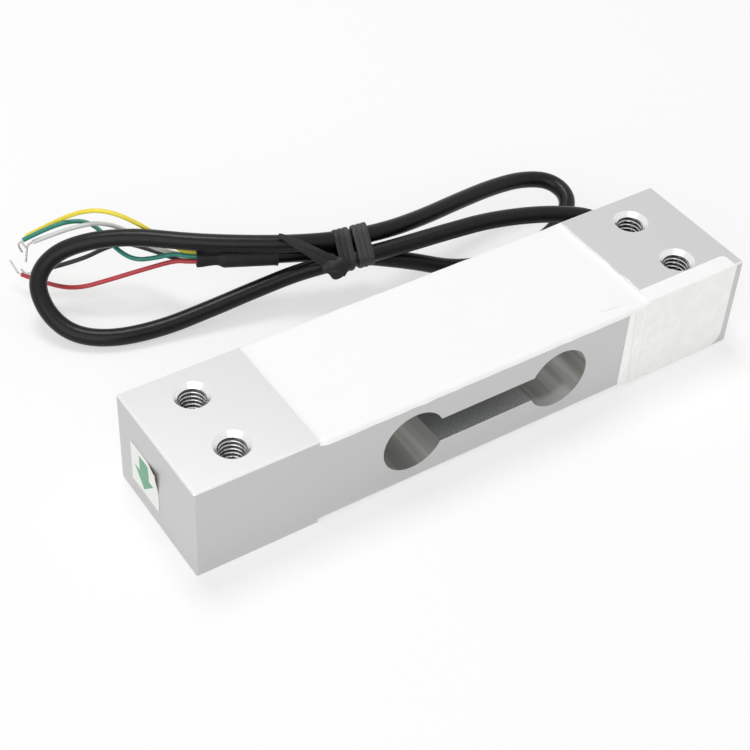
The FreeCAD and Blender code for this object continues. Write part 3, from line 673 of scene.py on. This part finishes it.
def line(name, route, diameter, material=None, sides=8):
    """A smooth cord through the control points of a route in millimetres."""
    curve = bpy.data.curves.new(name, "CURVE")
    curve.dimensions, curve.resolution_u = "3D", 12
    spline = curve.splines.new("NURBS")
    spline.points.add(len(route) - 1)
    for point, place in zip(spline.points, route):
        point.co = (*(Vector(place) * MM), 1)
    spline.order_u, spline.use_endpoint_u = 3, True
    curve.bevel_depth, curve.bevel_resolution = diameter / 2 * MM, sides
    curve.use_fill_caps = True
    if material:
        curve.materials.append(material)
    return linked(name, curve)


def centreline(route):
    """Points along the middle of a cord, in millimetres."""
    mesh = final_mesh(line("centreline", route, 0))
    points = [v.co / MM for v in mesh.vertices]
    bpy.data.meshes.remove(mesh)
    return points


jacket = Finish("black PVC jacket", Specular_IOR_Level=0.22)
scuff = jacket.grain(0.6, 4)
jacket_dust = jacket.grain(2.4, 3).above(0.62, 0.2)
jacket.feed("Base Color", jacket.blend(jacket_dust * 0.5, (0.005, 0.005, 0.006), (0.014, 0.014, 0.016)))
jacket.feed("Roughness", 0.24 + 0.12 * scuff)
jacket.bump(scuff, 0.05)
jacket.bump(jacket.grain(5, 2), 0.006)
cable = line("cable_jacket", CABLE_ROUTE, CABLE["diameter"], jacket.material)
carried(cable, "cable")

cable_path = centreline(CABLE_ROUTE)


# Cable seal. Black epoxy fills the cable's bore in the back face and stands out round the jacket as a
# small uneven fillet.
epoxy = Finish("black epoxy", Roughness=0.22, Coat_Weight=0.3)
epoxy_cloud = epoxy.grain(1.2, 3)
epoxy.feed("Base Color", epoxy.blend(epoxy_cloud, (0.011, 0.011, 0.012), (0.022, 0.021, 0.02)))
epoxy.bump(epoxy_cloud, 0.06)
BACK = BAR["width"] / 2
# the bead's section: along the cable, and out from its middle
SEAL = [
    (BACK - 1.0, 1.94), (BACK - 1.0, 2.37), (BACK - 0.02, 2.37), (BACK + 0.02, 3.25), (BACK + 0.12, 3.22),
    (BACK + 0.35, 2.85), (BACK + 0.7, 2.42), (BACK + 1.05, 2.12), (BACK + 1.18, 1.96), (BACK + 0.9, 1.93),
]
SEAL_BORE = 1.92


def seal_rings():
    """The bead's section at each step round the cable, a little uneven where it stands out of the bore."""
    rings = []
    x, _, z = CABLE["exit"]
    for k in range(48):
        a = 2 * math.pi * k / 48
        swell = 1 + 0.09 * waver(14, 2 * math.cos(a), 2 * math.sin(a))
        ring = []
        for y, out in SEAL:
            reach = SEAL_BORE + (out - SEAL_BORE) * (swell if y > BACK else 1)
            ring.append((x + reach * math.cos(a), y, z + reach * math.sin(a)))
        rings.append(ring)
    return rings


seal = loft("cable_seal_bead", seal_rings(), epoxy.material, 60, closed=True)
carried(seal, "cable_seal")


# Cable tie. A flat ribbed plastic twist tie goes twice round the hank's three strands. Its two tails are
# twisted into a lump, and one of them stands up across the upper strand.
TIE = {"thick": 0.55, "wide": 3.5, "pitch": 4.5, "gap": 0.12, "ribs": 3, "tail wide": 2.9, "tip wide": 0.6}
KNOT = {"half": 2.5, "length": 6.2, "flat": 0.5}
TIE_CENTRE = Vector((3.4, 39.6, 11.3))
TIE_STRANDS = [(3.2, 38.1, 10.9), (3.4, 40.9, 14.3), (3.9, 41.5, 9)]
TIE_KNOT = Vector((-2.7, 37.2, 11.6))
TIE_TAIL_TIP = Vector((-12.1, 44.8, 18.6))
ribbon = Finish("ribbed tie plastic", Roughness=0.5, Specular_IOR_Level=0.3)
tie_dust = ribbon.grain(1.6, 3)
# The ribbon is darker towards its knot and tail, at lower x.
toward_knot = ribbon.x.below(1.5, 3.0)
ribbon_shade = ribbon.blend(tie_dust, (0.03, 0.03, 0.032), (0.055, 0.055, 0.058))
ribbon.feed("Base Color", ribbon.blend(toward_knot, ribbon_shade, (0.016, 0.016, 0.018)))
ribbon.bump(tie_dust, 0.03)
tie_along = (Vector(CABLE_ROUTE[5]) - Vector(CABLE_ROUTE[6])).normalized()
tie_up = (Vector((0, 0, 1)) - tie_along * tie_along.z).normalized()
tie_out = tie_along.cross(tie_up)
strand_spots = [(Vector(p) - TIE_CENTRE) for p in TIE_STRANDS]
strand_spots = [p - tie_along * p.dot(tie_along) for p in strand_spots]


def ribbon_section(width, thick, ribs):
    """A flat ribbon's outline: across and outwards, with rounded ribs on its outer side."""
    spans = 8 * ribs
    outline = []
    for k in range(spans + 1):
        share = k / spans
        rib = abs(math.sin(math.pi * ribs * share)) ** 0.6
        outline.append(((share - 0.5) * width, thick * (0.72 + 0.28 * rib)))
    return outline + [((share - 0.5) * width, 0.0) for share in (1, 0.75, 0.5, 0.25, 0)]


def wrap_rings(shift, seed):
    """The ribbon's section at each step round the strands, moved along them by shift."""
    rings = []
    steps = 96
    reach = CABLE["diameter"] / 2 + TIE["gap"]
    for n in range(steps):
        a = 2 * math.pi * n / steps
        way = tie_up * math.cos(a) + tie_out * math.sin(a)
        held = max(strand_spots, key=lambda p: p.dot(way))
        around = TIE_CENTRE + held + way * reach
        skew = 0.35 * math.sin(a + seed) + 0.12 * waver(seed, math.cos(a) * 2, math.sin(a) * 2)
        width = TIE["wide"] * (1 + 0.04 * waver(seed + 3, math.cos(a) * 3, math.sin(a) * 3))
        ring = []
        for across, out in ribbon_section(width, TIE["thick"], TIE["ribs"]):
            ring.append(around + tie_along * (shift + skew + across) + way * out)
        rings.append(ring)
    return rings



def tail_rings():
    """The loose end, which narrows, bows a little and twists on its way up from the knot."""
    way = (TIE_TAIL_TIP - TIE_KNOT).normalized()
    side = way.cross(Vector((0, -1, 1))).normalized()
    flat = side.cross(way)
    rings = []
    for share in stations(0, 1, 24):
        middle = TIE_KNOT.lerp(TIE_TAIL_TIP, share) + flat * (0.3 + 0.5 * math.sin(math.pi * share))
        width = TIE["tail wide"] * (1 - share) ** 0.6 + TIE["tip wide"]
        twist = 0.5 * (1 - share) + 0.25 * math.sin(5 * share)
        turned = side * math.cos(twist) + flat * math.sin(twist)
        outward = turned.cross(way)
        section = ribbon_section(width, TIE["thick"] * (1 - 0.4 * share), 2)
        rings.append([middle + turned * across + outward * (out - 0.25) for across, out in section])
    return rings


def knot_rings():
    """The lump where the two ends are twisted together: a flattened, lobed spindle."""
    way = Vector((0.6, -0.62, -0.5)).normalized()
    flat = Vector((-0.43, -0.6, 0.68))
    flat = (flat - way * flat.dot(way)).normalized()
    side = flat.cross(way)
    rings = []
    for share in stations(0, 1, 32):
        half = KNOT["half"] * math.sin(math.pi * min(max(share, 0.03), 0.97)) ** 0.6
        ring = []
        for k in range(36):
            a = 2 * math.pi * k / 36
            lobe = 1 + 0.22 * math.cos(2 * a + 7 * share) + 0.1 * math.cos(5 * a - 4 * share)
            spread = side * math.cos(a) + flat * KNOT["flat"] * math.sin(a)
            ring.append(TIE_KNOT + way * (share - 0.5) * KNOT["length"] + spread * half * lobe)
        rings.append(ring)
    return rings


first_wrap = loft("cable_tie_wrap_left", wrap_rings(-TIE["pitch"] / 2, 15), ribbon.material, 40, closed=True)
second_wrap = loft("cable_tie_wrap_right", wrap_rings(TIE["pitch"] / 2, 16), ribbon.material, 40, closed=True)
tail = loft("cable_tie_tail", tail_rings(), ribbon.material, 40)
knot = loft("cable_tie_knot", knot_rings(), ribbon.material, 50)
for tie_part in (first_wrap, second_wrap, tail, knot):
    carried(tie_part, "cable_tie")


# Heat-shrink sleeve. Black polyolefin tube is shrunk over the end of the jacket and the roots of the
# leads, which leaves a step where the jacket ends and a puckered mouth.
SLEEVE = {"cover": 12.0, "free": 5.5, "wall": 0.35, "gap": 0.06, "neck": 1.66, "mouth": 0.34, "inside": 0.33}
shrink = Finish("heat-shrink tube", Specular_IOR_Level=0.2)
shrink_cloud = shrink.grain(0.9, 4)
shrink.feed("Base Color", shrink.blend(shrink_cloud, (0.012, 0.012, 0.013), (0.026, 0.026, 0.028)))
shrink.feed("Roughness", 0.42 + 0.15 * shrink_cloud)
shrink.bump(shrink_cloud, 0.12)
jacket_end = Vector(CABLE_ROUTE[-1])
jacket_way = (jacket_end - Vector(CABLE_ROUTE[-2])).normalized()
jacket_side = jacket_way.cross(Vector((0, 0, 1))).normalized()
jacket_up = jacket_side.cross(jacket_way)


def sleeve_station(distance):
    """The middle of the sleeve at a distance before the jacket's end, or past it if negative."""
    if distance <= 0:
        return jacket_end - jacket_way * distance
    left = distance
    for a, b in zip(cable_path[::-1], cable_path[-2::-1]):
        step = (b - a).length
        if left <= step:
            return a.lerp(b, left / step)
        left -= step
    return cable_path[0]


def sleeve_radius(distance, angle):
    """Tight on the jacket, a step down past its end, then a puckered neck that opens at the mouth."""
    grip = CABLE["diameter"] / 2 + SLEEVE["gap"] + SLEEVE["wall"]
    neck = SLEEVE["neck"] + SLEEVE["mouth"] * ease((-1.5 - distance) / 4) + 0.08 * math.cos(5 * angle + 0.6)
    share = ease((distance + 1.3) / 1.8)
    pucker = 0.07 * waver(17, distance * 0.5, math.cos(angle), math.sin(angle))
    flare = 0.12 * math.exp(-abs(distance - SLEEVE["cover"]) / 0.5)
    return neck + (grip - neck) * share + pucker * (1.3 - share) + flare


def sleeve_ring(distance, inward):
    """A ring round the sleeve, moved in from its outer side."""
    middle = sleeve_station(distance)
    ring = []
    for k in range(48):
        a = 2 * math.pi * k / 48
        reach = sleeve_radius(distance, a) - inward
        ring.append(middle + jacket_side * math.cos(a) * reach + jacket_up * math.sin(a) * reach)
    return ring


# from under the sleeve's far edge, along its outer side to the mouth, and back a little way inside it
outer_stops = [SLEEVE["cover"] - 0.35 * n for n in range(50)] + [-SLEEVE["free"]]
sleeve_rings = [sleeve_ring(SLEEVE["cover"], SLEEVE["inside"])]
sleeve_rings += [sleeve_ring(stop, 0) for stop in outer_stops]
sleeve_rings += [sleeve_ring(stop, SLEEVE["inside"]) for stop in (-SLEEVE["free"], -4, -2.5)]
sleeve = loft("heat_shrink_tube", sleeve_rings, shrink.material, 50)
carried(sleeve, "heat_shrink_sleeve")


# Leads. Five stranded copper leads in coloured PVC fan out of the sleeve, springy from being stripped,
# and each ends in a few millimetres of bare, tinned strands, bent by handling.
# each lead: its angle round the jacket's end, its route, the route of its bare strands and its colour
LEADS = {
    "yellow": (54, [(-29.8, 57.5, 13.4), (-34.2, 62.7, 17), (-39.8, 67, 20.6), (-44.7, 70.9, 20.2),
                    (-49.4, 78.4, 13.4), (-54.2, 80.8, 10.2)],
               [(-55.6, 80.4, 9), (-54.8, 79.6, 8)], (0.88, 0.74, 0.05)),
    "green": (126, [(-30.7, 56.5, 12.9), (-34.8, 58, 12.2), (-38.8, 59.8, 12), (-40.9, 64.4, 12.8),
                    (-41.6, 70.3, 14.6), (-44.2, 73.8, 15.6), (-50.2, 75.2, 15.4), (-56.6, 76.5, 13)],
              [(-57.8, 76.6, 11.6), (-57.2, 76.2, 10.2)], (0.012, 0.22, 0.16)),
    "red": (198, [(-30.8, 56, 11.4), (-38.1, 58.3, 10), (-44.7, 60.8, 8.2), (-50.5, 63.7, 6.2),
                  (-54.3, 69.2, 4.8), (-57.8, 76.5, 4)],
            [(-58.5, 77.9, 4.6), (-58.8, 80, 6)], (0.5, 0.035, 0.045)),
    "black": (270, [(-30.2, 57.8, 10.3), (-32.5, 62.6, 10), (-36.8, 68.1, 10.4), (-40.7, 69.5, 9.6),
                    (-47.3, 70, 8), (-56.3, 73.7, 6)],
              [(-57.6, 75, 5.2), (-57.6, 77, 5)], (0.016, 0.016, 0.018)),
    "white": (342, [(-30.1, 57.8, 11.8), (-33.9, 62.4, 12), (-36.8, 67.1, 14.6), (-42.1, 68.9, 17.4),
                    (-46.6, 71, 16.4), (-49.6, 73.3, 14.6), (-54.7, 75.8, 12.2)],
              [(-56, 76.4, 11), (-57, 75.3, 8)], (0.68, 0.7, 0.68)),
}
LEAD = {"diameter": 1.0, "ring": 0.9, "mouth": 7.0, "tin": 0.45, "lobes": 6, "twist": 0.35}
tin = Finish("tinned copper", Metallic=0.95)
tin_cloud = tin.grain(4, 3)
tin.feed("Base Color", tin.blend(tin_cloud, (0.42, 0.41, 0.39), (0.6, 0.59, 0.57)))
tin.feed("Roughness", 0.28 + 0.2 * tin_cloud)
tin.bump(tin_cloud, 0.02)


def bare_end_rings(path, way):
    """Sections of the tinned strands along a path, lobed by the strands and turned a little each time."""
    side = way.orthogonal().normalized()
    rings = []
    for n, point in enumerate(path):
        ahead = path[min(n + 1, len(path) - 1)] - path[max(n - 1, 0)]
        way = ahead.normalized() if ahead.length > 1e-6 else way
        side = (side - way * side.dot(way)).normalized()
        flat = way.cross(side)
        twist = LEAD["twist"] * n
        ring = []
        for k in range(24):
            b = 2 * math.pi * k / 24
            lobe = 0.86 + 0.14 * abs(math.cos(LEAD["lobes"] / 2 * b))
            out = side * math.cos(b + twist) + flat * math.sin(b + twist)
            ring.append(point + out * (LEAD["tin"] / 2 * lobe))
        rings.append(ring)
    return rings


leads = []
for name, (degrees, route, bare, colour) in LEADS.items():
    pvc = Finish(name + " PVC", Specular_IOR_Level=0.5)
    pvc_cloud = pvc.grain(0.7, 3)
    pvc.feed("Base Color", pvc.blend(pvc_cloud, [c * 0.9 for c in colour], colour))
    pvc.feed("Roughness", 0.3 + 0.15 * pvc_cloud)
    pvc.bump(pvc_cloud, 0.03)
    a = math.radians(degrees)
    root = jacket_end + (jacket_side * math.cos(a) + jacket_up * math.sin(a)) * LEAD["ring"]
    lead_route = [tuple(root), tuple(root + jacket_way * LEAD["mouth"])] + route
    lead = line("lead_" + name + "_wire", lead_route, LEAD["diameter"], pvc.material, 5)
    carried(lead, "lead_" + name)
    lead_path = centreline(lead_route)
    length = sum((q - p).length for p, q in zip(lead_path, lead_path[1:]))
    tip = Vector(route[-1])
    onward = (tip - Vector(route[-2])).normalized()
    bare_route = [tip - onward * 0.3, tip + onward * LEAD["diameter"]] + [Vector(p) for p in bare]
    ends = loft("bare_" + name, bare_end_rings(centreline(bare_route), onward), tin.material, 50)
    carried(ends, "tinned_ends")
    leads.append((lead, root, length, ends))

for lead, root, length, ends in leads:
    root * MM
    length * MM


# Studio. The part lies on a pale sheet under a small lamp overhead, with a large soft lamp at its front
# left and an even pale surround. To the camera and in reflections the surround is plain white.
def surround_rays(graph):
    """1 for rays from the camera, a reflection or a clear piece, 0 for those that only bring light."""
    ray = graph.node("ShaderNodeLightPath", {}, {}, "Is Camera Ray")
    return ray.either(ray.peer("Is Glossy Ray")).either(ray.peer("Is Transmission Ray"))


SHEET = {"half": 3.0, "level": -0.00005, "glow": 0.52, "paint": 0.975}
sheet_mesh = bpy.data.meshes.new("floor")
SHEET_CORNERS = [(-1, -1), (1, -1), (1, 1), (-1, 1)]
corners = [(x * SHEET["half"], y * SHEET["half"], SHEET["level"]) for x, y in SHEET_CORNERS]
sheet_mesh.from_pydata(corners, [], [(0, 1, 2, 3)])
floor = linked("floor", sheet_mesh)
floor_paint = bpy.data.materials.new("floor sheet")
floor_paint.use_nodes = True
floor_paint.node_tree.nodes.clear()
sheet = Graph(floor_paint.node_tree)
matt = sheet.node("ShaderNodeBsdfDiffuse", {}, {"Color": [SHEET["paint"]] * 3})
glow = sheet.node("ShaderNodeEmission", {}, {"Color": (1, 1, 1), "Strength": 1.0})
both = sheet.node("ShaderNodeMixShader", {}, {0: surround_rays(sheet) * SHEET["glow"], 1: matt, 2: glow})
sheet.node("ShaderNodeOutputMaterial", {}, {"Surface": both})
sheet_mesh.materials.append(floor_paint)

world = bpy.data.worlds.new("surround")
bpy.context.scene.world = world
world.use_nodes = True
world.node_tree.nodes.clear()
sky = Graph(world.node_tree)
lighting = sky.node("ShaderNodeBackground", {}, {"Color": (1, 1, 1), "Strength": 0.45})
white = sky.node("ShaderNodeBackground", {}, {"Color": (1, 1, 1), "Strength": 1.0})
mixed = sky.node("ShaderNodeMixShader", {}, {0: surround_rays(sky), 1: lighting, 2: white})
sky.node("ShaderNodeOutputWorld", {}, {"Surface": mixed})

# each lamp: its place, its width and its power
AIM = Vector((0, 0.02, 0.01))
LAMPS = {"key": ((0.0, 0.25, 0.8), 0.3, 2.6), "fill": ((-0.6, -0.5, 0.45), 1.0, 4.4)}
for name, (place, side, power) in LAMPS.items():
    lamp = bpy.data.lights.new(name, "AREA")
    lamp.shape, lamp.size, lamp.energy = "SQUARE", side, power
    stand = linked(name, lamp)
    stand.location = place
    stand.rotation_euler = (AIM - Vector(place)).to_track_quat("-Z", "Y").to_euler()

CAMERA = {
    "place": (-0.1546, -0.1920, 0.2338),
    "forward": (0.4286, 0.5977, -0.6776),
    "up": (0.3444, 0.5853, 0.7342),
    "lens": 79.1,
}
camera_data = bpy.data.cameras.new("camera")
camera_data.lens, camera_data.sensor_width, camera_data.clip_start = CAMERA["lens"], 36, 0.01
camera = linked("camera", camera_data)
backward = -Vector(CAMERA["forward"]).normalized()
rightward = Vector(CAMERA["up"]).cross(backward).normalized()
upward = backward.cross(rightward)
aimed = Matrix((rightward, upward, backward)).transposed().to_4x4()
camera.matrix_world = Matrix.Translation(CAMERA["place"]) @ aimed
bpy.context.scene.camera = camera
bpy.context.scene.view_settings.view_transform = "Standard"
